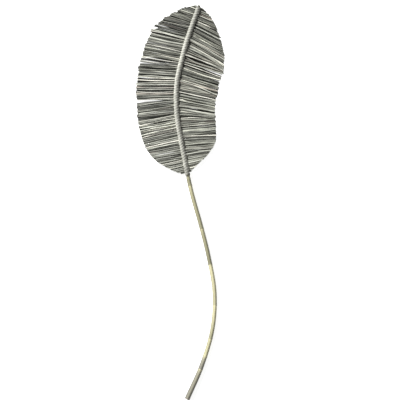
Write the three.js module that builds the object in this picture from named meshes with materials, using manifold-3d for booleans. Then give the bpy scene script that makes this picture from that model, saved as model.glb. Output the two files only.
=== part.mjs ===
// A decorative leaf made of dried seagrass, lying face up on a table.
// A bent cane is its stem and its midrib. Straws of dried seagrass stand out from both sides of
// the midrib, trimmed to the outline of a broad leaf, and a pale seagrass strip is wound round
// the midrib over its whole length.
//
// Millimetres. X runs across the leaf, Y from the cut end of the stem to the tip, Z up.
// The origin is the middle of the leaf's box, on the surface that it lies on.

import * as THREE from "three";
import { mergeVertices } from "three/addons/utils/BufferGeometryUtils.js";
import Module from "manifold-3d";

// Route of the cane in plan, from the cut end to the tip of the leaf
const CANE_ROUTE = [
  [16.6, -496.7], [54.4, -410], [80.8, -319], [86, -228], [71, -137], [52.2, -61],
  [27, 30], [11.2, 106], [-7.2, 207], [-10.8, 258], [-8, 309], [2.9, 359],
  [16.8, 410], [47.6, 497.5],
];
const CANE_SIDES = 10;
const CANE_CUT_RADIUS = 6.6;
const CANE_RADIUS = 5.4;
const CANE_TIP_RADIUS = 3.4;
const CUT_FLARE_END = -330; // the cane is thicker from its cut end up to this Y
const CANE_RINGS = 56;
const JOINTS = [-421, -389, -344, -258, -157, -67, 42]; // Y of each joint of the cane
const JOINT_SWELL = 0.55;
const JOINT_HALF_LENGTH = 4;
const JOINT_CLEARANCE = 6; // no even ring is nearer to a joint than this

// Wound strip on the midrib
const WRAP_START = 66; // Y of its lower end
const WRAP_END = 496;
const WRAP_SIDES = 10;
const WRAP_CREST = 6.2; // radius on a turn and between two turns
const WRAP_VALLEY = 5.5;
const CREST_POWER = 0.7; // under 1 makes the turns broad and the grooves narrow
const WRAP_PITCH = 8; // from one crest to the next along the midrib
const WRAP_STARTS = 2; // strips wound side by side
const RINGS_PER_PITCH = 3;
const BORE_RADIUS = 4.5; // the cane's seat in the winding
const FIT_GAP = 0.3;
const SEAT_START = WRAP_START - 2.5; // the cane narrows to its seat between these
const SEAT_END = WRAP_START - 0.5;
const BORE_OVERRUN = 3; // the bore runs out of both ends of the winding

// Rise of the midrib off the table
const ARCH_START = -110;
const ARCH_END = 505;
const ARCH_HEIGHT = 7;
const ARCH_SKEW = 1.25; // moves the top of the arch towards the tip

// Outline of the blade in plan, from the base to the tip on each side
const LEFT_EDGE = [
  [14, 74], [-5, 75], [-41, 92], [-71, 114], [-90, 143], [-104, 188], [-110.5, 244],
  [-111.5, 288], [-106, 335], [-98, 370], [-81, 415], [-58, 452], [-28, 474], [8, 491],
  [36, 498], [50, 500],
];
const RIGHT_EDGE = [
  [14, 74], [24, 78], [48, 101], [72, 125], [87.5, 152], [89.5, 183], [87, 228],
  [90, 265], [97, 298], [107.5, 330], [110.8, 361], [104.5, 402], [90, 443], [74, 472],
  [52, 494], [44, 500],
];
const OUTLINE_STEPS = 90;

// Straws
const BLADE_START = 76; // Y of the first root on the midrib
const BLADE_END = 492;
const STRAW_PITCH = 4.5; // from root to root along the midrib
const STRAW_WIDTH = 3.7;
const STRAW_THICKNESS = 2;
const STRAW_STEPS = 3;
const SHORTEST_STRAW = 5;
const EDGE_REACH = 94; // a straw this long comes down to the table
const EDGE_REST = STRAW_THICKNESS / 2;
const EDGE_LIFT = 3; // most that a bunch's ends stay off the table
const DROOP_POWER = 1.25;
const TRIM_SCATTER = 1.3;
const HEADER_WIDTH = 2.6; // the straws' roots, pressed together along the winding
const HEADER_HEIGHT = 4.8;
const HEADER_START = BLADE_START - 3;
const HEADER_END = BLADE_END + 1.5;
const HEADER_RINGS = 40;
const ROOT_INSET = 0.4; // from the header's inner face to a straw's root

// Bunches: neighbouring straws that lean together
const BUNCH_WIDTH = 15;
const BUNCH_SCATTER = 5;
const BUNCH_LEAN = 1.2; // degrees
const BUNCH_LIFT = 1.2;

// Sweep of the straws: root Y, and degrees from square to the midrib, towards the tip
const LEFT_SWEEP = [
  [76, -3], [95, -1], [112, 1], [148, 1], [176, -3], [199, -4.5], [240, -3.5], [285, -2],
  [300, -4.5], [325, -7.2], [340, -6.5], [352, -5], [370, -3.5], [385, -4.5], [420, -5],
  [492, 0],
];
const RIGHT_SWEEP = [
  [76, 6], [100, 3], [115, -5], [145, -8], [166, -8], [190, -2], [203, -6], [213, -6],
  [234, -13], [262, -11.5], [285, -9], [310, -8], [325, -5], [340, -4.5], [358, -6], [377, -11],
  [397, -12], [415, -9.5], [440, -9.5], [492, -2],
];

// Gapes, where neighbouring straws part and the table shows: root Y and degrees of opening
const LEFT_GAPES = [[348, 5.4], [340, 2.6], [303, 2], [257, 7]];
const RIGHT_GAPES = [[355, 3], [338, 2.5]];
const GAPE_FADE = 14; // the lean away from a gape dies out over this much of the midrib

// Kinds of scatter
const LEAN_KIND = 4;
const TRIM_KIND = 8;
const LIFT_KIND = 12;

const FLAT_TURN = Math.PI / CANE_SIDES; // turns a flat side of the cane down
const FLAT_RATIO = Math.cos(FLAT_TURN); // flat-side distance over corner radius

const MERGE_DISTANCE = 1e-4; // vertices nearer than this are one

const wasm = await Module();
wasm.setup();

const smooth = THREE.MathUtils.smoothstep;

// A fixed scatter between -1 and 1 for the k-th thing of a kind
function scatter(k, kind) {
  const v = Math.sin(k * 12.9898 + kind * 78.233) * 43758.5453;
  return (v - Math.floor(v)) * 2 - 1;
}

// Corner radius of the cane at a given Y, without its joints
function caneRadius(y) {
  const flare = 1 - smooth(y, CANE_ROUTE[0][1], CUT_FLARE_END);
  const taper = THREE.MathUtils.clamp((y - WRAP_START) / (WRAP_END - WRAP_START), 0, 1);
  const seated = BORE_RADIUS - FIT_GAP;
  const bare = CANE_RADIUS + (CANE_CUT_RADIUS - CANE_RADIUS) * flare;
  const inside = seated + (CANE_TIP_RADIUS - seated) * taper;
  return THREE.MathUtils.lerp(bare, inside, smooth(y, SEAT_START, SEAT_END));
}

function jointSwell(y) {
  const near = JOINTS.map((joint) => Math.max(0, 1 - Math.abs(y - joint) / JOINT_HALF_LENGTH));
  return JOINT_SWELL * Math.max(...near);
}

// Height of the cane's axis: flat on the table, then arched under the blade
function axisHeight(y) {
  const t = THREE.MathUtils.clamp((y - ARCH_START) / (ARCH_END - ARCH_START), 0, 1);
  const arch = ARCH_HEIGHT * Math.sin(Math.PI * t ** ARCH_SKEW) ** 2;
  const lying = caneRadius(Math.min(y, ARCH_START)) * FLAT_RATIO;
  return THREE.MathUtils.lerp(lying, WRAP_CREST, smooth(y, ARCH_START, WRAP_START)) + arch;
}

const plan = new THREE.CatmullRomCurve3(
  CANE_ROUTE.map(([x, y]) => new THREE.Vector3(x, y, 0)), false, "centripetal");
const PLAN_STEPS = 600;
const planPoints = plan.getSpacedPoints(PLAN_STEPS);

// Point of the axis at a given Y, with its directions along, to the right and up
function axisAt(y) {
  let i = planPoints.findIndex((p) => p.y >= y);
  if (i < 1) i = i === 0 ? 1 : PLAN_STEPS;
  const [a, b] = [planPoints[i - 1], planPoints[i]];
  const point = a.clone().lerp(b, (y - a.y) / (b.y - a.y)).setZ(axisHeight(y));
  const step = 1;
  const rise = (axisHeight(y + step) - axisHeight(y - step)) / (2 * step);
  const along = b.clone().sub(a).divideScalar(b.y - a.y).setZ(rise).normalize();
  const right = along.clone().cross(new THREE.Vector3(0, 0, 1)).normalize();
  return { point, along, right, up: right.clone().cross(along) };
}

// A closed tube round the axis, with a ring at each of ys. radius(y, angle) is from the axis to
// a corner, and nothing of it goes below the table.
function tubeGeometry(ys, sides, radius) {
  const geometry = new THREE.CylinderGeometry(1, 1, 1, sides, ys.length - 1);
  geometry.rotateY(FLAT_TURN);
  const position = geometry.getAttribute("position");
  const frames = ys.map(axisAt);
  for (let i = 0; i < position.count; i++) {
    const v = new THREE.Vector3().fromBufferAttribute(position, i);
    const ring = Math.round((v.y + 0.5) * (ys.length - 1));
    const { point, right, up } = frames[ring];
    const reach = Math.hypot(v.x, v.z) < 0.5 ? 0 : radius(ys[ring], Math.atan2(v.x, v.z));
    const placed = point.clone().addScaledVector(right, v.x * reach)
      .addScaledVector(up, v.z * reach);
    position.setXYZ(i, placed.x, placed.y, Math.max(0, placed.z));
  }
  return geometry;
}

function evenSteps(from, to, count) {
  return Array.from({ length: count + 1 }, (_, i) => from + ((to - from) * i) / count);
}

// Between a geometry and a solid that can be cut and joined
function solidOf(geometry) {
  geometry.deleteAttribute("normal");
  geometry.deleteAttribute("uv");
  const merged = mergeVertices(geometry, MERGE_DISTANCE);
  return new wasm.Manifold(new wasm.Mesh({
    numProp: 3,
    vertProperties: merged.getAttribute("position").array,
    triVerts: new Uint32Array(merged.index.array),
  }));
}

function geometryOf(solid) {
  const mesh = solid.getMesh();
  const geometry = new THREE.BufferGeometry();
  geometry.setAttribute("position", new THREE.BufferAttribute(mesh.vertProperties, 3));
  geometry.setIndex(new THREE.BufferAttribute(mesh.triVerts, 1));
  geometry.computeVertexNormals();
  return geometry;
}

// The Y of each of the cane's rings, from its cut end to the tip of the leaf
function caneRings() {
  const even = evenSteps(CANE_ROUTE[0][1], CANE_ROUTE.at(-1)[1], CANE_RINGS);
  const clear = even.filter((y) => JOINTS.every((j) => Math.abs(y - j) > JOINT_CLEARANCE));
  const atJoints = JOINTS.flatMap((j) => [j - JOINT_HALF_LENGTH, j, j + JOINT_HALF_LENGTH]);
  return [...clear, ...atJoints, SEAT_START, SEAT_END].sort((a, b) => a - b);
}

function caneGeometry() {
  return tubeGeometry(caneRings(), CANE_SIDES, (y) => caneRadius(y) + jointSwell(y));
}

// The strips wound round the midrib, with the cane's seat through the middle
function wrapGeometry() {
  const pitches = Math.round((WRAP_END - WRAP_START) / WRAP_PITCH);
  const ys = evenSteps(WRAP_START, WRAP_END, pitches * RINGS_PER_PITCH);
  const ridge = (y, angle) => {
    const turns = (y - WRAP_START) / WRAP_PITCH - (WRAP_STARTS * angle) / (2 * Math.PI);
    const crest = (0.5 + 0.5 * Math.cos(2 * Math.PI * turns)) ** CREST_POWER;
    return WRAP_VALLEY + (WRAP_CREST - WRAP_VALLEY) * crest;
  };
  const outside = solidOf(tubeGeometry(ys, WRAP_SIDES, ridge));
  const inner = caneRings().filter((y) => y >= SEAT_END && y < WRAP_END);
  const bored = [WRAP_START - BORE_OVERRUN, ...inner, WRAP_END + BORE_OVERRUN]
    .sort((a, b) => a - b);
  const bore = solidOf(tubeGeometry(bored, CANE_SIDES, (y) => caneRadius(y) + FIT_GAP));
  return geometryOf(outside.subtract(bore));
}

// Distance along a ray in plan to the outline
function reachTo(outline, origin, direction) {
  let nearest = Infinity;
  for (let i = 1; i < outline.length; i++) {
    const [a, b] = [outline[i - 1], outline[i]];
    const edge = { x: b.x - a.x, y: b.y - a.y };
    const cross = direction.x * edge.y - direction.y * edge.x;
    const [dx, dy] = [a.x - origin.x, a.y - origin.y];
    const distance = (dx * edge.y - dy * edge.x) / cross;
    const share = (dx * direction.y - dy * direction.x) / cross;
    if (distance > 0 && share >= 0 && share <= 1) nearest = Math.min(nearest, distance);
  }
  return nearest;
}

// One straw, a flat bar that droops from its root to the table
function strawSolid(root, out, across, length, lift, edgeHeight) {
  const bar = new THREE.BoxGeometry(1, 1, 1, STRAW_STEPS, 1, 1);
  const position = bar.getAttribute("position");
  for (let i = 0; i < position.count; i++) {
    const v = new THREE.Vector3().fromBufferAttribute(position, i);
    const s = (v.x + 0.5) * length;
    const q = Math.min(1, s / EDGE_REACH);
    const droop = (edgeHeight - root.z) * q ** DROOP_POWER;
    const placed = root.clone().addScaledVector(out, s)
      .addScaledVector(across, v.y * STRAW_WIDTH);
    placed.z += droop + lift * (1 - q) + v.z * STRAW_THICKNESS;
    position.setXYZ(i, placed.x, placed.y, Math.max(0, placed.z));
  }
  return solidOf(bar);
}

// The band of pressed roots that the straws of one side stand in
function headerSolid(side) {
  const ys = evenSteps(HEADER_START, HEADER_END, HEADER_RINGS);
  const band = new THREE.BoxGeometry(1, 1, 1, ys.length - 1, 1, 1);
  const position = band.getAttribute("position");
  const middle = WRAP_CREST + FIT_GAP + HEADER_WIDTH / 2;
  for (let i = 0; i < position.count; i++) {
    const v = new THREE.Vector3().fromBufferAttribute(position, i);
    const { point, right } = axisAt(ys[Math.round((v.x + 0.5) * (ys.length - 1))]);
    const placed = point.addScaledVector(right, side * middle - v.y * HEADER_WIDTH);
    position.setXYZ(i, placed.x, placed.y, Math.max(0, placed.z + v.z * HEADER_HEIGHT));
  }
  return solidOf(band);
}

// Degrees between a straw and the square to the midrib, by the Y of its root
function sweepAt(y, sweep, gapes) {
  const next = Math.max(1, sweep.findIndex(([at]) => at >= y));
  const [[fromY, from], [toY, to]] = [sweep[next - 1], sweep[next]];
  const even = THREE.MathUtils.lerp(from, to, (y - fromY) / (toY - fromY));
  const parted = gapes.map(([at, opening]) => {
    return Math.sign(y - at) * (opening / 2) * Math.exp(-Math.abs(y - at) / GAPE_FADE);
  });
  return even + parted.reduce((sum, turn) => sum + turn, 0);
}

// All the straws of one side, -1 left or 1 right
function strawsGeometry(side) {
  const points = (side < 0 ? LEFT_EDGE : RIGHT_EDGE).map(([x, y]) => new THREE.Vector2(x, y));
  const outline = new THREE.SplineCurve(points).getPoints(OUTLINE_STEPS);
  const sweep = side < 0 ? LEFT_SWEEP : RIGHT_SWEEP;
  const gapes = side < 0 ? LEFT_GAPES : RIGHT_GAPES;
  const solids = [headerSolid(side)];
  const count = Math.round((BLADE_END - BLADE_START) / STRAW_PITCH);
  const kind = 2 + side;
  let bunch = 0;
  let bunchEnd = BLADE_START + BUNCH_WIDTH;
  for (let k = 0; k <= count; k++) {
    const y = BLADE_START + k * ((BLADE_END - BLADE_START) / count);
    if (y > bunchEnd) {
      bunch += 1;
      bunchEnd += BUNCH_WIDTH + BUNCH_SCATTER * scatter(bunch, kind);
    }
    const lean = BUNCH_LEAN * scatter(bunch, kind + LEAN_KIND);
    const angle = THREE.MathUtils.degToRad(sweepAt(y, sweep, gapes) + lean);
    const { point, along, right } = axisAt(y);
    const root = point.addScaledVector(right, side * (WRAP_CREST + FIT_GAP + ROOT_INSET));
    const out = right.multiplyScalar(side * Math.cos(angle)).setZ(0)
      .addScaledVector(along.setZ(0).normalize(), Math.sin(angle)).normalize();
    const across = new THREE.Vector3(-out.y, out.x, 0);
    const length = reachTo(outline, root, out) + TRIM_SCATTER * scatter(k, kind + TRIM_KIND);
    if (!Number.isFinite(length) || length < SHORTEST_STRAW) continue;
    const lift = bunch % 2 ? BUNCH_LIFT : -BUNCH_LIFT;
    const tip = EDGE_REST + EDGE_LIFT * Math.max(0, scatter(bunch, kind + LIFT_KIND));
    solids.push(strawSolid(root, out, across, length, lift, tip));
  }
  return geometryOf(wasm.Manifold.union(solids));
}

function mesh(name, geometry, color, roughness) {
  const made = new THREE.Mesh(geometry, new THREE.MeshStandardMaterial({ color, roughness }));
  made.name = name;
  return made;
}

const leaf = new THREE.Group();
leaf.name = "seagrass_leaf";
leaf.add(mesh("cane_stem", caneGeometry(), "#c9c193", 0.45));
leaf.add(mesh("midrib_wrap", wrapGeometry(), "#cfccbd", 0.75));
leaf.add(mesh("straws_left", strawsGeometry(-1), "#85847a", 0.8));
leaf.add(mesh("straws_right", strawsGeometry(1), "#85847a", 0.8));

export default leaf;
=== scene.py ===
from math import pi, radians, tau
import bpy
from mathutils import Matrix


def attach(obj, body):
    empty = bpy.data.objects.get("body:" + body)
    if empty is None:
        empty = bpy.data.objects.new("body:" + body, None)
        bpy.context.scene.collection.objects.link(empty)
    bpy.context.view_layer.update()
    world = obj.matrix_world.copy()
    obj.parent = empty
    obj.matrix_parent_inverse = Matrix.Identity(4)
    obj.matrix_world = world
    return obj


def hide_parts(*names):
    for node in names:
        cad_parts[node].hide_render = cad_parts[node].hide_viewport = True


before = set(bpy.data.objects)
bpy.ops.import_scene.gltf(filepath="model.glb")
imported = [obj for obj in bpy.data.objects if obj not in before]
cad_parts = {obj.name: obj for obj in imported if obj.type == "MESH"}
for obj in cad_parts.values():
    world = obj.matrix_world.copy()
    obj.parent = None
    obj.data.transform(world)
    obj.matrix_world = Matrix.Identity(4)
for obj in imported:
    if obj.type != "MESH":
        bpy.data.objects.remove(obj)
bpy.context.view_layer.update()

from types import SimpleNamespace

import bpy
import numpy as np

# The table top that the leaf lies on, and the light and camera over it.
# It is a white light table, with one soft key light from the upper left and the pale walls of the
# room. The camera looks straight down on the face of the leaf.
MM = 0.001
TABLE_SIZE = 8.0
TABLE_DROP = 0.2 * MM  # keeps the board clear of the flat underside of the stem
TABLE_GLOW = 0.76
VIEW_CENTRE = (49.3 * MM, 6.3 * MM)
VIEW_WIDTH = 1012 * MM  # across the picture, at the table
CAMERA_HEIGHT = 4.0
SENSOR = 36.0
KEY_PLACE = (-1.5, 1.2, 2.0)
KEY_TURN = (radians(-38), radians(-44), 0)
KEY_POWER = 4.6
KEY_SOFTNESS = radians(9)
ROOM_GLOW = 0.27


def linear(code):
    """An sRGB hex colour as linear red, green, blue and alpha."""
    parts = [int(code[i:i + 2], 16) / 255 for i in (1, 3, 5)]
    return [c / 12.92 if c <= 0.04045 else ((c + 0.055) / 1.055) ** 2.4 for c in parts] + [1]


def add(tree, kind, settings=None, **links):
    """A new node of a tree, with its settings and with links or values for its inputs."""
    node = tree.nodes.new(kind)
    for name, value in (settings or {}).items():
        setattr(node, name, value)
    for name, value in links.items():
        key = int(name[1:]) if name[0] == "i" and name[1:].isdigit() else name.replace("_", " ")
        if isinstance(value, bpy.types.NodeSocket):
            tree.links.new(value, node.inputs[key])
        else:
            node.inputs[key].default_value = value
    return node


def new_material(name):
    """An empty node material, and its tree and output."""
    material = bpy.data.materials.new(name)
    material.use_nodes = True
    material.node_tree.nodes.clear()
    return material, material.node_tree, material.node_tree.nodes.new("ShaderNodeOutputMaterial")


bpy.ops.object.select_all(action="DESELECT")
bpy.ops.mesh.primitive_plane_add(size=TABLE_SIZE, location=(0, 0, -TABLE_DROP))
table = bpy.context.object
table.name = "table_top"

# White matt acrylic, lit from below as a light table is: no gloss, and only a trace of a shadow.
paint, tree, output = new_material("white_light_table")
shader = add(tree, "ShaderNodeBsdfPrincipled", Base_Color=linear("#f4f4f2"), Roughness=0.9,
             Emission_Color=linear("#ffffff"), Emission_Strength=TABLE_GLOW)
tree.links.new(shader.outputs["BSDF"], output.inputs["Surface"])
table.data.materials.append(paint)

bpy.ops.object.light_add(type="SUN", location=KEY_PLACE, rotation=KEY_TURN)
key = bpy.context.object
key.name = "key_light"
key.data.energy = KEY_POWER
key.data.angle = KEY_SOFTNESS

world = bpy.data.worlds.new("pale_room")
world.use_nodes = True
world.node_tree.nodes["Background"].inputs["Color"].default_value = linear("#f7f8fa")
world.node_tree.nodes["Background"].inputs["Strength"].default_value = ROOM_GLOW
bpy.context.scene.world = world

bpy.ops.object.camera_add(location=(*VIEW_CENTRE, CAMERA_HEIGHT), rotation=(0, 0, 0))
camera = bpy.context.object
camera.name = "camera"
camera.data.sensor_width = SENSOR
camera.data.lens = SENSOR * CAMERA_HEIGHT / VIEW_WIDTH
bpy.context.scene.camera = camera
bpy.context.scene.view_settings.view_transform = "Standard"

# The cane that is stem and midrib in one.
# It is one length of a natural reed, cut square at the thick end, steamed and bent to an S. It is
# smooth between its joints, and each joint has a raised ring with a scar where a leaf sat.
CANE_ROUTE = MM * np.array([
    (16.6, -496.7), (54.4, -410), (80.8, -319), (86, -228), (71, -137), (52.2, -61),
    (27, 30), (11.2, 106), (-7.2, 207), (-10.8, 258), (-8, 309), (2.9, 359),
    (16.8, 410), (47.6, 497.5),
])
CANE_START, CANE_END = CANE_ROUTE[0, 1], CANE_ROUTE[-1, 1]
CANE_SIDES = 24
CANE_STEP = 3 * MM
CANE_CUT_RADIUS = 6.6 * MM
CANE_RADIUS = 5.4 * MM
CANE_TIP_RADIUS = 3.4 * MM
CUT_FLARE_END = -330 * MM
TIP_RIM, TIP_HOLLOW = 0.6 * MM, 0.3 * MM
JOINTS = MM * np.array([-421, -389, -344, -258, -157, -67, 42])
JOINT_SWELL = 0.5 * MM
JOINT_HALF_LENGTH = 4 * MM
SCAR_DEPTH = 0.35 * MM
SCAR_HALF_WIDTH = 0.6 * MM
LENGTH_STAINS = np.array([  # at the lower and the upper end of each length between joints
    (0.9, 0.8), (0.95, 0.8), (0.25, 0.45), (0.75, 0),
    (0.45, 0.05), (0.95, 0.65), (0.85, 0.45), (0.8, 1),
])
# The cane's painted highlight and painted shade: a pale line a little left of the top, where the key
# light falls, and darker flanks
HIGHLIGHT_SIDE, HIGHLIGHT_WIDTH = -0.1, 0.65  # of the radius: the palest line, a little left of the top
PAINTED_HIGHLIGHT_TONE, PAINTED_SHADE_TONE = 1.36, 0.42
PALE_RING, PALE_RING_LENGTH = 0.75, 5 * MM  # the skin is paler just below each joint
GREY_LENGTHS = 2  # from the cut end up
FLAT_RATIO = np.cos(pi / 10)  # the part's cane has ten sides and lies on one
WRAP_START, WRAP_END = 66 * MM, 496 * MM
WRAP_CREST = 6.2 * MM
SEAT_START, SEAT_END = WRAP_START - 2.5 * MM, WRAP_START - 0.5 * MM
SEAT_RADIUS = 4.2 * MM
ARCH_START, ARCH_END = -110 * MM, 505 * MM
ARCH_HEIGHT = 7 * MM
ARCH_SKEW = 1.25


def curve_through(points, steps=40):
    """A smooth curve through points in plan, and a little way straight on past both ends."""
    points = np.vstack([2 * points[0] - points[1], points, 2 * points[-1] - points[-2]])
    t = np.linspace(0, 1, steps, endpoint=False)[:, None]
    made = [points[:1]]
    for p0, p1, p2, p3 in zip(points, points[1:], points[2:], points[3:]):
        d0, d1, d2 = (max(np.linalg.norm(b - a), 1e-9) ** 0.5
                      for a, b in ((p0, p1), (p1, p2), (p2, p3)))
        m1 = ((p1 - p0) / d0 - (p2 - p0) / (d0 + d1) + (p2 - p1) / d1) * d1
        m2 = ((p2 - p1) / d1 - (p3 - p1) / (d1 + d2) + (p3 - p2) / d2) * d1
        made.append(p1 + m1 * t + (3 * (p2 - p1) - 2 * m1 - m2) * t ** 2
                    + (2 * (p1 - p2) + m1 + m2) * t ** 3)
    return np.vstack([*made, points[-2:]])


def smooth(value, start, end):
    t = np.clip((value - start) / (end - start), 0, 1)
    return t * t * (3 - 2 * t)


def cane_radius(y):
    """Radius of the cane at y, without its joints."""
    bare = CANE_RADIUS + (CANE_CUT_RADIUS - CANE_RADIUS) * (1 - smooth(y, CANE_START, CUT_FLARE_END))
    taper = np.clip((y - WRAP_START) / (WRAP_END - WRAP_START), 0, 1)
    inside = SEAT_RADIUS + (CANE_TIP_RADIUS - SEAT_RADIUS) * taper
    return bare + (inside - bare) * smooth(y, SEAT_START, SEAT_END)


def axis_height(y):
    """Height of the cane's axis: flat on the table, then arched under the blade."""
    t = np.clip((y - ARCH_START) / (ARCH_END - ARCH_START), 0, 1)
    lying = cane_radius(np.minimum(y, ARCH_START)) * FLAT_RATIO
    raised = smooth(y, ARCH_START, WRAP_START)
    return lying + (WRAP_CREST - lying) * raised + ARCH_HEIGHT * np.sin(pi * t ** ARCH_SKEW) ** 2


cane_plan = curve_through(CANE_ROUTE)


def axis_frames(y):
    """Points of the axis at each y, with the directions along it, to its right and up."""
    def point(at):
        return np.stack([np.interp(at, cane_plan[:, 1], cane_plan[:, 0]), at, axis_height(at)], -1)
    along = point(y + MM) - point(y - MM)
    along /= np.linalg.norm(along, axis=-1, keepdims=True)
    right = np.cross(along, (0, 0, 1))
    right /= np.linalg.norm(right, axis=-1, keepdims=True)
    return point(y), along, right, np.cross(right, along)


def vertices_of(mesh):
    places = np.empty(3 * len(mesh.vertices), np.float32)
    mesh.vertices.foreach_get("co", places)
    return places.reshape(-1, 3).astype(float)


def place_vertices(mesh, places):
    """Moves a mesh's vertices to their places, and none of them below the table."""
    places[:, 2] = np.maximum(places[:, 2], 0)
    mesh.vertices.foreach_set("co", places.astype(np.float32).ravel())
    mesh.update()


def bend_to_route(piece):
    """Bends a piece that was modelled straight along Y, round the axis, to the cane's route."""
    straight = vertices_of(piece.data)
    point, along, right, up = axis_frames(straight[:, 1])
    place_vertices(piece.data, point + right * straight[:, :1] + up * straight[:, 2:])


def joint_profile(y):
    """How far the skin stands out at y for the joints near it."""
    away = np.abs(y - JOINTS)
    ring = JOINT_SWELL * np.maximum(0, 1 - away / JOINT_HALF_LENGTH) ** 1.5
    scar = SCAR_DEPTH * np.maximum(0, 1 - away / SCAR_HALF_WIDTH)
    return (ring - scar).sum()


rings = np.arange(CANE_START, CANE_END, CANE_STEP)
rings = rings[[np.abs(y - [*JOINTS, SEAT_START]).min() > JOINT_HALF_LENGTH for y in rings]]
near_joints = MM * np.array([-4, -2.4, -1.2, -0.6, 0, 0.6, 1.2, 2.4, 4])
rings = np.sort(np.concatenate([rings, (JOINTS[:, None] + near_joints).ravel(),
                                [SEAT_START, SEAT_END, CANE_END]]))


def keep_attribute(mesh, name, values):
    """A value for each vertex, for the material to read."""
    values = np.asarray(values, np.float32)
    layer = mesh.attributes.new(name, "FLOAT" if values.ndim == 1 else "FLOAT_VECTOR", "POINT")
    layer.data.foreach_set("value" if values.ndim == 1 else "vector", values.ravel())


bpy.ops.object.select_all(action="DESELECT")
bpy.ops.mesh.primitive_circle_add(vertices=CANE_SIDES, radius=CANE_CUT_RADIUS, fill_type="NGON",
                                  location=(0, CANE_START, 0), rotation=(pi / 2, 0, 0))
cane = bpy.context.object
cane.name = "cane"
bpy.ops.object.mode_set(mode="EDIT")
bpy.ops.mesh.select_all(action="SELECT")
radius = CANE_CUT_RADIUS
for near, far in zip(rings, rings[1:]):
    wanted = float(cane_radius(far) + joint_profile(far))
    bpy.ops.mesh.extrude_region_move(TRANSFORM_OT_translate={"value": (0, far - near, 0)})
    bpy.ops.transform.resize(value=(wanted / radius, 1, wanted / radius),
                             center_override=(0, far, 0))
    radius = wanted
bpy.ops.mesh.inset(thickness=TIP_RIM, depth=-TIP_HOLLOW)
bpy.ops.mesh.select_all(action="SELECT")
bpy.ops.mesh.normals_make_consistent(inside=False)
bpy.ops.object.mode_set(mode="OBJECT")
bpy.ops.object.transform_apply(location=True, rotation=True, scale=True)
x, y = vertices_of(cane.data).T[:2]
ends = np.array([CANE_START, *JOINTS, CANE_END])
length = np.clip(np.searchsorted(ends, y, side="right") - 1, 0, len(JOINTS))
share = (y - ends[length]) / (ends[length + 1] - ends[length])
low, high = LENGTH_STAINS[length].T
ringed = PALE_RING * np.exp((y - ends[length + 1]) / PALE_RING_LENGTH) * (length < len(JOINTS))
# Painted highlight along the lit line of the cane, and painted shade on its flanks and all round
# under the winding
painted_highlight = np.exp(-((x / CANE_RADIUS - HIGHLIGHT_SIDE) / HIGHLIGHT_WIDTH) ** 2) * (y < SEAT_START)
keep_attribute(cane.data, "painted_shading", PAINTED_SHADE_TONE + (PAINTED_HIGHLIGHT_TONE - PAINTED_SHADE_TONE) * painted_highlight)
keep_attribute(cane.data, "stain", (low + (high - low) * share) * (1 - ringed))
keep_attribute(cane.data, "greyed", length < GREY_LENGTHS)
bend_to_route(cane)
bpy.ops.object.shade_smooth_by_angle(angle=radians(40))

# Natural reed with its own waxy skin, dried: pale straw yellow, stained olive in each length to
# its own depth, and grey near the cut. The skin has fine lengthwise streaks and a pale ring below
# each joint. A painted highlight runs along it a little left of the top, between two flanks
# darkened with painted shade. Where the winding covers it there is only the painted shade, which
# shows at the tip.
REED_PALE = linear("#d6d0a8")
REED_OLIVE = linear("#848269")
REED_GREY = linear("#817f75")
reed, tree, output = new_material("natural_reed_skin")
place = add(tree, "ShaderNodeTexCoord").outputs["Object"]
greyed = add(tree, "ShaderNodeAttribute", {"attribute_name": "greyed"}).outputs["Fac"]
stain = add(tree, "ShaderNodeAttribute", {"attribute_name": "stain"}).outputs["Fac"]
shaded = add(tree, "ShaderNodeMix", {"data_type": "RGBA"}, i0=greyed, i6=REED_OLIVE, i7=REED_GREY)
stained = add(tree, "ShaderNodeMix", {"data_type": "RGBA"}, i0=stain, i6=REED_PALE,
              i7=shaded.outputs[2])
streaks = add(tree, "ShaderNodeTexNoise", Vector=add(
    tree, "ShaderNodeMapping", Vector=place, Scale=(1400, 60, 1400)).outputs["Vector"], Scale=1.0,
    Detail=3.0)
streaked = add(tree, "ShaderNodeMix", {"data_type": "RGBA", "blend_type": "MULTIPLY"},
               i0=0.55, i6=stained.outputs[2],
               i7=add(tree, "ShaderNodeMapRange", Value=streaks.outputs["Fac"], From_Min=0.3,
                      From_Max=0.7, To_Min=0.72, To_Max=1.15).outputs["Result"])
painted_shading = add(tree, "ShaderNodeAttribute", {"attribute_name": "painted_shading"}).outputs["Fac"]
skin = add(tree, "ShaderNodeVectorMath", {"operation": "SCALE"}, i0=streaked.outputs[2],
           Scale=painted_shading)
bump = add(tree, "ShaderNodeBump", Height=streaks.outputs["Fac"], Strength=0.3,
           Distance=0.2 * MM)
shader = add(tree, "ShaderNodeBsdfPrincipled", Base_Color=skin.outputs[0], Roughness=0.42,
             Normal=bump.outputs["Normal"])
tree.links.new(shader.outputs["BSDF"], output.inputs["Surface"])
cane.data.materials.append(reed)
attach(cane, "root")
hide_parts("cane_stem")

# The winding over the midrib.
# Two flat strips of bleached seagrass are wound side by side round the cane, each turn lapped a
# little over the one before it, from just below the blade to its tip.
TURN_SPACING = 6.4 * MM
STRIPS = 2
LEAD = TURN_SPACING * STRIPS
STRIP_WIDTH = 7.0 * MM
STRIP_THICKNESS = 1.8 * MM
STRIP_RADIUS = 5.25 * MM
STRIP_TILT = radians(15)
STRIP_SIDES = 12
STEPS_PER_TURN = 20
WIND_LENGTH = WRAP_END - WRAP_START - STRIP_WIDTH

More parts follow.
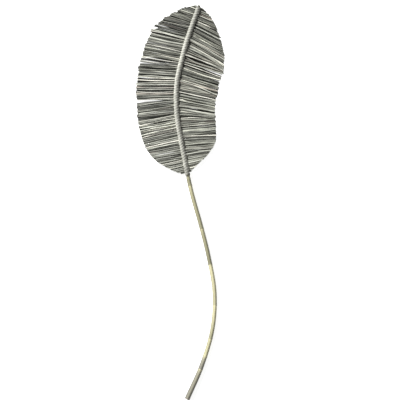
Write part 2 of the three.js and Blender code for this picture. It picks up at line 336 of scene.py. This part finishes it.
wound = []
for start in range(STRIPS):
    bpy.ops.object.select_all(action="DESELECT")
    bpy.ops.mesh.primitive_circle_add(vertices=STRIP_SIDES, radius=1)
    strip = bpy.context.object
    bpy.ops.object.mode_set(mode="EDIT")
    bpy.ops.mesh.select_all(action="SELECT")
    bpy.ops.transform.resize(value=(STRIP_THICKNESS / 2, STRIP_WIDTH / 2, 1))
    bpy.ops.transform.rotate(value=STRIP_TILT, orient_axis="Z", center_override=(0, 0, 0))
    bpy.ops.transform.translate(value=(STRIP_RADIUS, WRAP_START + STRIP_WIDTH / 2, 0))
    bpy.ops.object.mode_set(mode="OBJECT")
    turns = WIND_LENGTH / LEAD
    steps = round(turns * STEPS_PER_TURN)
    screw = strip.modifiers.new("winding", "SCREW")
    screw.axis = "Y"
    screw.angle = turns * tau
    screw.screw_offset = WIND_LENGTH
    screw.steps = screw.render_steps = steps
    bpy.ops.object.modifier_apply(modifier=screw.name)
    bpy.ops.object.mode_set(mode="EDIT")
    bpy.ops.mesh.select_all(action="SELECT")
    bpy.ops.transform.rotate(value=tau * start / STRIPS, orient_axis="Y", center_override=(0, 0, 0))
    bpy.ops.mesh.fill_holes(sides=STRIP_SIDES)
    bpy.ops.mesh.select_all(action="SELECT")
    bpy.ops.mesh.normals_make_consistent(inside=False)
    bpy.ops.object.mode_set(mode="OBJECT")
    x, y, z = vertices_of(strip.data).T
    turn = (y - WRAP_START - STRIP_WIDTH / 2) / LEAD + np.arctan2(z, x) / tau + start / STRIPS
    across = (turn - np.round(turn)) * LEAD
    keep_attribute(strip.data, "edge", smooth(np.abs(across), 0.25 * STRIP_WIDTH, 0.5 * STRIP_WIDTH))
    keep_attribute(strip.data, "side", x / WRAP_CREST)
    wound.append(strip)
bpy.ops.object.select_all(action="DESELECT")
for strip in wound:
    strip.select_set(True)
bpy.ops.object.join()
winding = bpy.context.object
winding.name = "winding"
bend_to_route(winding)
bpy.ops.object.shade_smooth_by_angle(angle=radians(50))

# Bleached seagrass strip, pressed flat and wound damp: nearly white, dull, with fine fibres
# across the midrib that make its edges look soft. Handling has greyed it at the foot and the tip.
# Painted shade darkens the edges of each turn, where the turns lap, and the right side of the
# midrib, away from the key light.
FOOT_LENGTH = 30 * MM
TIP_LENGTH = 90 * MM
strip_grass, tree, output = new_material("bleached_seagrass_strip")
place = add(tree, "ShaderNodeTexCoord").outputs["Object"]
blotches = add(tree, "ShaderNodeTexNoise", Vector=place, Scale=160.0, Detail=2.0)
fibres = add(tree, "ShaderNodeTexNoise", Vector=add(
    tree, "ShaderNodeMapping", Vector=place, Scale=(150, 1500, 150)).outputs["Vector"], Scale=1.0,
    Detail=3.0)
shade = add(tree, "ShaderNodeMath", {"operation": "MULTIPLY_ADD"}, i0=fibres.outputs["Fac"],
            i1=0.6, i2=blotches.outputs["Fac"])
ramp = add(tree, "ShaderNodeValToRGB", Fac=add(
    tree, "ShaderNodeMapRange", Value=shade.outputs[0], From_Min=0.5, From_Max=1.1).outputs[0])
ramp.color_ramp.elements[0].color = linear("#b3b3a6")
ramp.color_ramp.elements[1].color = linear("#f2f1e6")
height = add(tree, "ShaderNodeSeparateXYZ", Vector=place).outputs["Y"]
foot = add(tree, "ShaderNodeMapRange", Value=height, From_Min=WRAP_START,
           From_Max=WRAP_START + FOOT_LENGTH, To_Min=0.6, To_Max=1)
tip = add(tree, "ShaderNodeMapRange", Value=height, From_Min=WRAP_END - TIP_LENGTH,
          From_Max=WRAP_END, To_Min=1, To_Max=0.72)
weathered = add(tree, "ShaderNodeMath", {"operation": "MULTIPLY"}, i0=foot.outputs[0],
                i1=tip.outputs[0])
# Painted shade along the edges of each turn, in the creases where the turns lap
edge = add(tree, "ShaderNodeAttribute", {"attribute_name": "edge"}).outputs["Fac"]
painted_crease_shade = add(tree, "ShaderNodeMapRange", Value=edge, To_Min=1, To_Max=0.55)
handled_and_painted_shade = add(tree, "ShaderNodeMath", {"operation": "MULTIPLY"}, i0=weathered.outputs[0],
           i1=painted_crease_shade.outputs[0])
# Painted shade on the right side of the midrib, away from the key light
side = add(tree, "ShaderNodeAttribute", {"attribute_name": "side"}).outputs["Fac"]
painted_shading = add(tree, "ShaderNodeMapRange", {"interpolation_type": "SMOOTHSTEP"}, Value=side,
             From_Min=-0.4, From_Max=0.7, To_Min=1, To_Max=0.72)
shade = add(tree, "ShaderNodeMath", {"operation": "MULTIPLY"}, i0=handled_and_painted_shade.outputs[0],
            i1=painted_shading.outputs[0])
coloured = add(tree, "ShaderNodeVectorMath", {"operation": "SCALE"}, i0=ramp.outputs["Color"],
               Scale=shade.outputs[0])
bump = add(tree, "ShaderNodeBump", Height=fibres.outputs["Fac"], Strength=0.5,
           Distance=0.3 * MM)
shader = add(tree, "ShaderNodeBsdfPrincipled", Base_Color=coloured.outputs[0], Roughness=0.7,
             Normal=bump.outputs["Normal"])
tree.links.new(shader.outputs["BSDF"], output.inputs["Surface"])
winding.data.materials.append(strip_grass)
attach(winding, "root")
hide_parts("midrib_wrap")

# The straws on the left side of the midrib.
# Each is one dried, furrowed blade of seagrass. They are bound under the winding side by side in
# bunches that lean together, over a second layer below whose colour is darkened with painted shade,
# and are trimmed to the outline. A few loose ones cross the others on top, and some dried nearly
# white.
BLADE_START, BLADE_END = 76, 492  # the first and last root, along the midrib in millimetres
STRAW_PITCH = 4.5
BUNCH_WIDTH, BUNCH_SCATTER = 15, 5
BUNCH_LEAN, BUNCH_LIFT = 1.2, 1.2
LEAN_KIND, LIFT_KIND = 4, 12
GAPE_FADE, PARTING_FADE = 14, 6
ROOT_REACH = 2.6  # a straw whose root is nearer than this to a listed root is the one meant
SPINDLE_SPACING, SPINDLE_SCATTER = 9.5, 3  # straws bulge away from places this far apart
SPINDLE_BOW, SPINDLE_FADE = 1.8 * MM, 3.5
EDGE_REACH = 94 * MM
EDGE_REST, EDGE_LIFT = 1 * MM, 3 * MM
DROOP_POWER = 1.25
SETTLE = 1 * MM  # about how near the table a straw begins to be pressed thinner by it
ROOT_DISTANCE = 5.2 * MM  # from the midrib's axis, just under the side of the winding
ROOT_DIP, ROOT_DIP_LENGTH = 1.6 * MM, 5 * MM  # where the winding presses the straws down
# Painted shadow of the winding on the straws' roots: how far along them it reaches, and the roots
# over which it fades in
ROOT_SHADE_LENGTH = 9 * MM
TRIM_SCATTER = 1.1
SHORTEST_STRAW = 5 * MM
LOOSE_START = 112  # the short straws at the foot are all pressed flat
LOOSE_SHARE, LOOSE_STRAY = 0.5, 2.2
RUFFLE_START, RUFFLE_END = 120, 230  # straws lie tidy up to the first, and ruffled from the second
ROOT_SHADE_START, ROOT_SHADE_END = 120, 330
LOWER_DROP, LOWER_TIP = 3.2 * MM, 0.9 * MM
LOWER_WIDTHS, UPPER_WIDTHS, LOOSE_WIDTHS = (6, 7.4), (3.6, 4.4), (1.6, 2.8)
RUFFLED_THINNER = 0.9
STRAW_THICKNESSES = (1.5, 2.2)
STRAW_ROLL = 0.35
# The lower layer's colour is darkened with painted shade
LOWER_PAINTED_SHADE_TONE = 0.23
USUAL_HUES, BLEACHED_HUE = 0.93, 1
CRINKLE, CRINKLE_SHORTEST, CRINKLE_LONGEST = 0.4 * MM, 9 * MM, 20 * MM
SWELL, SWELL_SHORTEST, SWELL_LONGEST = 0.14, 8 * MM, 16 * MM
BOW_SCATTER = 0.01  # of the straw's length
LIFT_FADE = 0.6  # the share of a straw's lift that is gone at the edge
STRAW_STEPS = 8
STRAW_SIDES = 6
FURROW_DEPTH = 0.3  # of the straw's thickness

# One straw, one unit long, wide and thick: a flattened rod with a furrow along its top
bpy.ops.object.select_all(action="DESELECT")
bpy.ops.mesh.primitive_circle_add(vertices=STRAW_SIDES, radius=0.5, fill_type="NGON",
                                  rotation=(pi / 2, 0, pi / 2))
pattern = bpy.context.object
pattern.name = "straw_pattern"
bpy.ops.object.mode_set(mode="EDIT")
bpy.ops.mesh.select_all(action="SELECT")
for _ in range(STRAW_STEPS):
    bpy.ops.mesh.extrude_region_move(TRANSFORM_OT_translate={"value": (1 / STRAW_STEPS, 0, 0)})
bpy.ops.mesh.select_all(action="SELECT")
bpy.ops.mesh.normals_make_consistent(inside=False)
bpy.ops.object.mode_set(mode="OBJECT")
bpy.ops.object.transform_apply(location=True, rotation=True, scale=True)
bpy.ops.object.shade_smooth_by_angle(angle=radians(60))
unit = vertices_of(pattern.data)
unit[unit[:, 2] > 0.45, 2] -= FURROW_DEPTH

# Dried seagrass, sun dried and left its own colour: grey green to grey brown, matt with a faint
# silkiness along its fine lengthwise furrows, and stained darker and lighter along its length.
HUES = [(0.0, "#838479"), (0.3, "#8f9087"), (0.55, "#97988d"), (0.84, "#9e9d92"),
        (0.89, "#8f857c"), (0.93, "#b3b0a3"), (1.0, "#cfcdc1")]
seagrass, tree, output = new_material("dried_seagrass")
along = add(tree, "ShaderNodeAttribute", {"attribute_name": "along"}).outputs["Vector"]
tone = add(tree, "ShaderNodeAttribute", {"attribute_name": "tone"}).outputs["Fac"]
hue = add(tree, "ShaderNodeAttribute", {"attribute_name": "hue"}).outputs["Fac"]
ramp = add(tree, "ShaderNodeValToRGB", Fac=hue)
stops = ramp.color_ramp.elements
while len(stops) < len(HUES):
    stops.new(1.0)
for stop, (at, code) in zip(stops, HUES):
    stop.position = at
    stop.color = linear(code)
furrows = add(tree, "ShaderNodeTexNoise", Vector=add(
    tree, "ShaderNodeMapping", Vector=along, Scale=(25, 1600, 900)).outputs["Vector"], Scale=1.0,
    Detail=4.0)
stains = add(tree, "ShaderNodeTexNoise", Vector=add(
    tree, "ShaderNodeMapping", Vector=along, Scale=(30, 200, 200)).outputs["Vector"], Scale=1.0,
    Detail=3.0)
furrowed = add(tree, "ShaderNodeMapRange", Value=furrows.outputs["Fac"], From_Min=0.3,
               From_Max=0.7, To_Min=0.68, To_Max=1.3)
stained = add(tree, "ShaderNodeMapRange", Value=stains.outputs["Fac"], From_Min=0.32,
              From_Max=0.68, To_Min=0.62, To_Max=1.32)
shade = add(tree, "ShaderNodeMath", {"operation": "MULTIPLY"}, i0=furrowed.outputs[0],
            i1=stained.outputs[0])
shade = add(tree, "ShaderNodeMath", {"operation": "MULTIPLY"}, i0=shade.outputs[0], i1=tone)
coloured = add(tree, "ShaderNodeVectorMath", {"operation": "SCALE"}, i0=ramp.outputs["Color"],
               Scale=shade.outputs[0])
bump = add(tree, "ShaderNodeBump", Height=furrows.outputs["Fac"], Strength=0.6,
           Distance=0.35 * MM)
shader = add(tree, "ShaderNodeBsdfPrincipled", Base_Color=coloured.outputs[0], Roughness=0.6,
             Normal=bump.outputs["Normal"])
tree.links.new(shader.outputs["BSDF"], output.inputs["Surface"])

rng = np.random.default_rng(2)


def scatter(k, kind):
    """A fixed scatter between -1 and 1 for the k-th thing of a kind."""
    value = np.sin(k * 12.9898 + kind * 78.233) * 43758.5453
    return (value - np.floor(value)) * 2 - 1


def bunch_numbers(roots, kind):
    """The number of the bunch that each root is in."""
    ends = [BLADE_START + BUNCH_WIDTH]
    while ends[-1] < BLADE_END:
        ends.append(ends[-1] + BUNCH_WIDTH + BUNCH_SCATTER * scatter(len(ends), kind))
    return np.searchsorted(ends, roots)


def parted(y, gapes, fade):
    """Degrees that a straw rooted at y leans away from the gapes near it."""
    return sum(np.sign(y - at) * (turn / 2) * np.exp(-abs(y - at) / fade) for at, turn in gapes)


def reach_to(outline, origin, direction):
    """Distance along a ray in plan to the outline."""
    a, edge = outline[:-1], outline[1:] - outline[:-1]
    cross = direction[0] * edge[:, 1] - direction[1] * edge[:, 0]
    gap = a - origin
    distance = (gap[:, 0] * edge[:, 1] - gap[:, 1] * edge[:, 0]) / cross
    share = (gap[:, 0] * direction[1] - gap[:, 1] * direction[0]) / cross
    ahead = distance[(distance > 0) & (share >= 0) & (share <= 1)]
    return ahead.min() if len(ahead) else 0


def sway(s, shortest, longest):
    """A wave between -1 and 1 along a straw, of its own length and start."""
    return np.sin(s / rng.uniform(shortest, longest) + rng.uniform(0, tau))


def tuck_below(straw, blade):
    """Makes a straw one of the lower layer: wider, and darkened with painted shade."""
    straw.y += STRAW_PITCH / 2
    straw.turn += rng.normal(0, 0.5) - 0.7 * straw.lean
    straw.raised -= LOWER_DROP
    straw.tip = LOWER_TIP
    straw.width = rng.uniform(*LOWER_WIDTHS) * MM
    straw.tone = rng.normal(LOWER_PAINTED_SHADE_TONE, 0.05) / straw.ruffled


def lay_on_top(straw, blade):
    """Makes a straw one of the upper layer, each with its own lean, lift, bow and shade."""
    away = straw.y - blade.spindles[np.argmin(np.abs(straw.y - blade.spindles))]
    straw.turn += parted(straw.y, blade.partings, PARTING_FADE) + rng.normal(0, 0.9 * straw.ruffled)
    straw.raised += rng.normal(0.2, 0.8 * straw.ruffled) * MM
    straw.tip += rng.normal(0.2, 0.5 * straw.ruffled) * MM
    thinnest, widest = UPPER_WIDTHS
    straw.width = rng.uniform(thinnest - RUFFLED_THINNER * straw.ruffled, widest) * MM
    straw.bow = np.sign(away) * SPINDLE_BOW * np.exp(-abs(away) / SPINDLE_FADE)
    straw.bow *= rng.uniform(0.4, 1.3) * straw.ruffled
    uneven = rng.normal(0, np.interp(straw.y, *zip(*blade.tone_spread)))
    straw.tone = np.exp(np.clip(uneven, -1, 0.7) * straw.ruffled)
    if min(abs(straw.y - at) for at in blade.pale) < ROOT_REACH:
        straw.width *= 0.75
        straw.raised += 0.6 * MM
        straw.hue = BLEACHED_HUE
        straw.tone = rng.uniform(1.1, 1.4)
    straw.y += rng.normal(0, 0.5 * straw.ruffled)


def lay_loose(straw, blade):
    """Makes a straw one of the thin loose ones that lie across the others, but not over a slit."""
    slit_distance = min(abs(straw.y - at) for at, _ in blade.gapes)
    straw.y += rng.uniform(-2, 2)
    straw.turn += rng.normal(0, LOOSE_STRAY) * min(1, slit_distance / GAPE_FADE)
    straw.raised += rng.uniform(1.2, 2.2) * MM
    straw.tip += 1.2 * MM
    straw.width = rng.uniform(*LOOSE_WIDTHS) * MM
    straw.tone = np.exp(rng.normal(0.1, 0.4))


def make_straw(straw, blade):
    """A copy of the pattern, laid from its root on the midrib to the outline."""
    point, along, right = (v[0] for v in axis_frames(np.array([straw.y * MM]))[:3])
    along, right = along * (1, 1, 0), right * (1, 1, 0)
    along /= np.linalg.norm(along)
    angle = radians(straw.turn)
    out = blade.side * right * np.cos(angle) + along * np.sin(angle)
    across = np.array([-out[1], out[0], 0]) * blade.side
    root = point + blade.side * right * ROOT_DISTANCE
    reach = reach_to(blade.outline, root[:2], out[:2])
    if reach < SHORTEST_STRAW:
        return None
    corners = [root + across * straw.width * half for half in (-0.5, 0.5)]
    trims = [reach_to(blade.outline, corner[:2], out[:2]) for corner in corners]
    slant = np.clip(trims[1] - trims[0], -straw.width, straw.width) if min(trims) > 0 else 0
    s = unit[:, 0] * (reach + straw.extra + slant * unit[:, 1])
    q = np.clip(s / EDGE_REACH, 0, 1)
    bowed = (straw.bow + BOW_SCATTER * reach * rng.normal()) * np.sin(pi * unit[:, 0])
    crinkled = CRINKLE * sway(s, CRINKLE_SHORTEST, CRINKLE_LONGEST) * q
    waved = CRINKLE * sway(s, CRINKLE_SHORTEST, CRINKLE_LONGEST) * q
    swollen = 1 + SWELL * sway(s, SWELL_SHORTEST, SWELL_LONGEST)
    thickness = rng.uniform(*STRAW_THICKNESSES) * MM
    roll = rng.normal(0, STRAW_ROLL)
    aside = (unit[:, 1] * np.cos(roll) - unit[:, 2] * np.sin(roll) * 0.5) * straw.width * swollen
    rise = unit[:, 2] * thickness + unit[:, 1] * np.sin(roll) * straw.width * 0.5
    drooped = point[2] + (straw.tip - point[2]) * q ** DROOP_POWER
    places = root + out * s[:, None] + across * (aside + bowed + crinkled)[:, None]
    free = (drooped + straw.raised * (1 - LIFT_FADE * q) + waved + rise
            - ROOT_DIP * np.exp(-s / ROOT_DIP_LENGTH))
    places[:, 2] = (free + np.hypot(free, SETTLE)) / 2
    made = bpy.data.objects.new("straw", pattern.data.copy())
    bpy.context.scene.collection.objects.link(made)
    place_vertices(made.data, places)
    if blade.side < 0:
        made.data.flip_normals()
    # Painted shadow of the winding, darkest at the root and fading along the straw
    deepest_root_shade = blade.root_stain * smooth(straw.y, ROOT_SHADE_START, ROOT_SHADE_END)
    stain = deepest_root_shade * np.exp(-s / ROOT_SHADE_LENGTH)
    keep_attribute(made.data, "tone", straw.tone * straw.bleached * (1 - stain))
    keep_attribute(made.data, "hue", np.full(len(unit), straw.hue))
    keep_attribute(made.data, "along", np.stack(
        [s + rng.uniform(0, 10), unit[:, 1] * straw.width, unit[:, 2] * thickness], -1))
    return made


def lay_blade(blade, name):
    """All the straws of one side of the midrib, layer by layer, as one object."""
    blade.outline = curve_through(MM * np.array(blade.edge))[1:-1]
    steps = rng.uniform(SPINDLE_SPACING - SPINDLE_SCATTER, SPINDLE_SPACING + SPINDLE_SCATTER, 50)
    blade.spindles = BLADE_START + np.cumsum(steps)
    kind = 2 + blade.side
    count = round((BLADE_END - BLADE_START) / STRAW_PITCH)
    roots = np.linspace(BLADE_START, BLADE_END, count + 1)
    made = []
    for lay in (tuck_below, lay_on_top, lay_loose):
        for y, bunch in zip(roots, bunch_numbers(roots, kind)):
            straw = SimpleNamespace(y=y, bow=0, hue=rng.uniform(0, USUAL_HUES))
            straw.lean = BUNCH_LEAN * scatter(bunch, kind + LEAN_KIND)
            straw.turn = (np.interp(y, *zip(*blade.sweep)) + parted(y, blade.gapes, GAPE_FADE)
                          + straw.lean)
            straw.raised = (BUNCH_LIFT if bunch % 2 else -BUNCH_LIFT) * MM
            straw.tip = EDGE_REST + EDGE_LIFT * max(0, scatter(bunch, kind + LIFT_KIND))
            straw.ruffled = 0.45 + 0.55 * smooth(y, RUFFLE_START, RUFFLE_END)
            # Bleaching along the leaf, with painted shade: the left side is set darker than the
            # right to offset how the key light falls on each side
            straw.bleached = np.interp(y, *zip(*blade.bleaching))
            straw.extra = TRIM_SCATTER * straw.ruffled * rng.normal() * MM
            straw.extra += sum(more for at, more in blade.uneven if abs(y - at) < ROOT_REACH) * MM
            if lay is lay_loose and (
                    y < LOOSE_START or rng.uniform() > LOOSE_SHARE * straw.ruffled):
                continue
            lay(straw, blade)
            made.append(make_straw(straw, blade))
    bpy.ops.object.select_all(action="DESELECT")
    made = [straw for straw in made if straw]
    for straw in made:
        straw.select_set(True)
    bpy.context.view_layer.objects.active = made[0]
    bpy.ops.object.join()
    joined = bpy.context.object
    joined.name = name
    joined.data.materials.clear()
    joined.data.materials.append(seagrass)
    return joined


# Root positions along the midrib and lengths are in millimetres, and leans in degrees
left_side = SimpleNamespace(
    side=-1,
    edge=[
        (14, 74), (-5, 75), (-41, 92), (-71, 114), (-90, 143), (-104, 188), (-110.5, 244),
        (-111.5, 288), (-106, 335), (-98, 370), (-81, 415), (-58, 452), (-28, 474), (8, 491),
        (36, 498), (50, 500),
    ],
    sweep=[
        (76, -3), (95, -1), (112, 1), (148, 1), (176, -3), (199, -4.5), (240, -3.5), (285, -2),
        (300, -4.5), (325, -7.2), (340, -6.5), (352, -5), (370, -3.5), (385, -4.5), (420, -5),
        (492, 0),
    ],
    gapes=[(348, 5.4), (340, 2.6), (303, 2), (257, 7)],
    partings=[
        (453, 3), (424, 3), (398, 3), (378, 2), (318, 3), (290, 3), (246, 2), (228, 3), (204, 3),
        (172, 3), (140, 3), (118, 2),
    ],
    pale=[465, 409, 380, 350, 343, 305, 280, 262, 212, 198, 183, 156, 108],
    uneven=[(424, 3), (418, -5), (411, 5)],
    tone_spread=[(76, 0.5)],
    bleaching=[(90, 1.43), (260, 1.08)],
    root_stain=0,
)
left_straws = lay_blade(left_side, "left_straws")
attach(left_straws, "root")
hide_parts("straws_left")

# The straws on the right side of the midrib.
# They are made like those on the left, from the same dried seagrass. They lean down more towards
# the tip, are cut to a narrower outline with a waist, and are darkened at their roots with painted
# shadow of the winding.
right_side = SimpleNamespace(
    side=1,
    edge=[
        (14, 74), (24, 78), (48, 101), (72, 125), (87.5, 152), (89.5, 183), (87, 228),
        (90, 265), (97, 298), (107.5, 330), (110.8, 361), (104.5, 402), (90, 443), (74, 472),
        (52, 494), (44, 500),
    ],
    sweep=[
        (76, 6), (100, 3), (115, -5), (145, -8), (166, -8), (190, -2), (203, -6), (213, -6),
        (234, -13), (262, -11.5), (285, -9), (310, -8), (325, -5), (340, -4.5), (358, -6),
        (377, -11), (397, -12), (415, -9.5), (440, -9.5), (492, -2),
    ],
    gapes=[(355, 3), (338, 2.5)],
    partings=[
        (458, 2.5), (440, 2.5), (422, 2), (404, 4), (388, 2.5), (372, 3.5), (330, 2), (301, 3.5),
        (254, 2), (188, 4), (128, 2),
    ],
    pale=[459, 400, 375, 351, 281, 262, 213, 166],
    uneven=[(352, -2), (338, -3)],
    tone_spread=[(230, 0.46), (330, 0.7)],
    bleaching=[(90, 1.8), (200, 1.2), (310, 1.3), (380, 1.15), (492, 1.6)],
    root_stain=0.4,
)
right_straws = lay_blade(right_side, "right_straws")
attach(right_straws, "root")
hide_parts("straws_right")
bpy.data.objects.remove(pattern)
